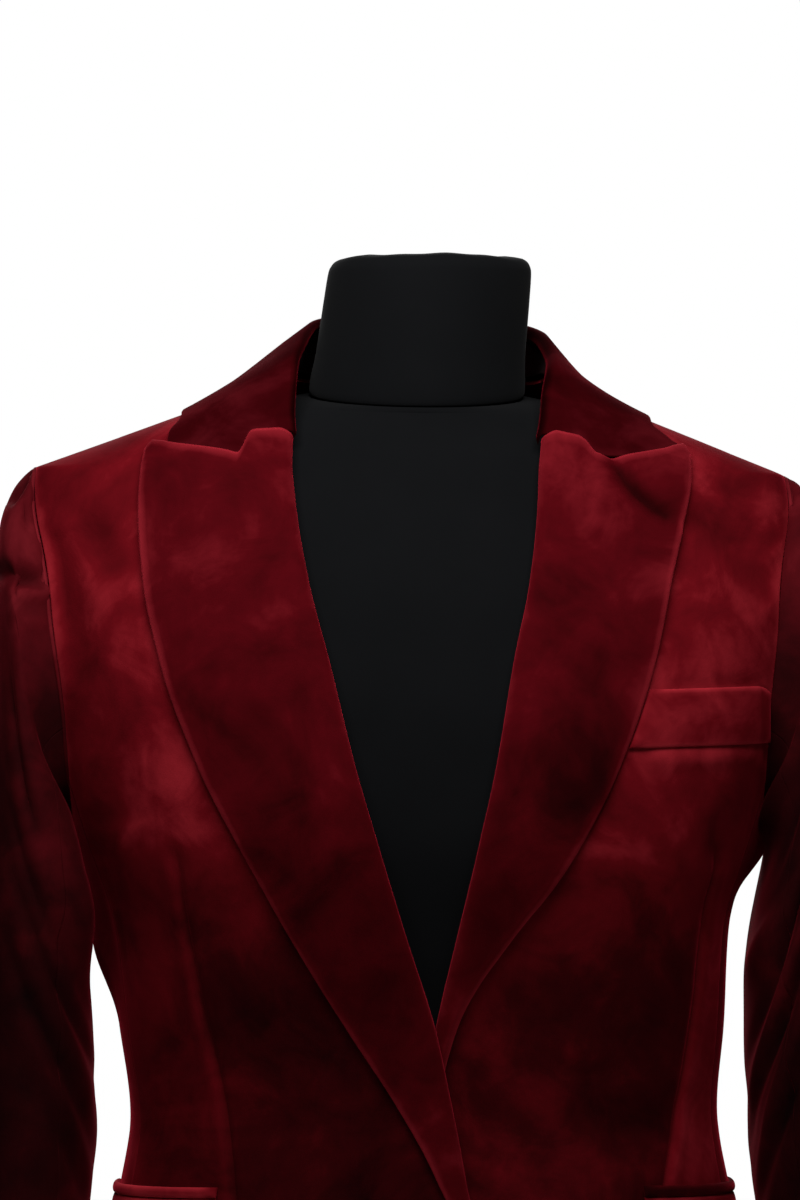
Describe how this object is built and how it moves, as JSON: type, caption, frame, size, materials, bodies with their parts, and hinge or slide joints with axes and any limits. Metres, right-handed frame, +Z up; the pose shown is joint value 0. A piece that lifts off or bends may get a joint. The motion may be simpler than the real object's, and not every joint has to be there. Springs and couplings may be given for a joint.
{
  "type": "blazer on dress form",
  "caption": "Fitted velvet blazer with wide peak lapels, a chest welt, flapped hip pockets and a front button, worn on a limbless dress form.",
  "frame": {"origin": "centre line of the dress form on its flat base, where it stands", "axes": "+Z up, front of the blazer towards -Y, wearer's left towards +X"},
  "size_m": [0.486, 0.2526, 0.783],
  "materials": {
    "velvet": "deep burgundy velvet with a soft brushed nap",
    "button": "dark red satin",
    "jersey": "black stretch jersey, smooth and matt"
  },
  "bodies": {
    "root": {"front_left": "velvet", "front_right": "velvet", "side_panel_left": "velvet", "side_panel_right": "velvet", "back_left": "velvet", "back_right": "velvet", "lapel_left": "velvet", "lapel_right": "velvet", "collar_fall": "velvet", "collar_stand": "velvet", "top_sleeve_left": "velvet", "top_sleeve_right": "velvet", "under_sleeve_left": "velvet", "under_sleeve_right": "velvet", "chest_welt": "velvet", "hip_jet_left": "velvet", "hip_jet_right": "velvet", "hip_flap_left": "velvet", "hip_flap_right": "velvet", "front_button": "button", "form_torso": "jersey", "form_neck": "jersey"}
  },
  "joints": []
}
